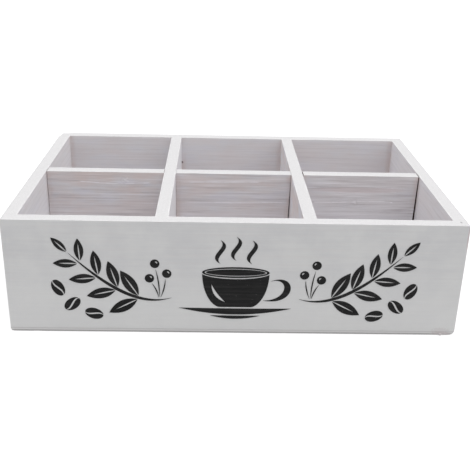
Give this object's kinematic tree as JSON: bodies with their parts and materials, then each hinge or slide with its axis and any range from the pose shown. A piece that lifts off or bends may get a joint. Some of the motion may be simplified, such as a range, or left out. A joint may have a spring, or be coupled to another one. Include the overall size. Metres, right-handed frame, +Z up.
{
  "type": "coffee station organizer",
  "caption": "Open-topped white painted wooden box divided into equal square pockets for pods, sachets and tea bags, with a black painted cup and leaves on its front.",
  "frame": {"origin": "centre of the underside, on the surface that the box stands on", "axes": "+X along the box's length to the right as seen from its printed front, +Y from front to back, +Z up"},
  "size_m": [0.305, 0.2067, 0.0825],
  "materials": {
    "painted_wood": "thin matt white paint over softwood, grain showing through",
    "base_ply": "thin matt white paint over plywood",
    "brad_steel": "plain bright wire",
    "black_paint": "matt black stencilled paint"
  },
  "bodies": {
    "root": {"front_panel": "painted_wood", "back_panel": "painted_wood", "left_side_panel": "painted_wood", "right_side_panel": "painted_wood", "left_cross_divider": "painted_wood", "right_cross_divider": "painted_wood", "left_long_divider": "painted_wood", "middle_long_divider": "painted_wood", "right_long_divider": "painted_wood", "base_panel": "base_ply", "front_corner_brads": "brad_steel", "back_corner_brads": "brad_steel", "front_divider_brads": "brad_steel", "back_divider_brads": "brad_steel", "side_divider_brads": "brad_steel", "inner_divider_brads": "brad_steel", "base_brads": "brad_steel", "front_print": "black_paint"}
  },
  "joints": []
}
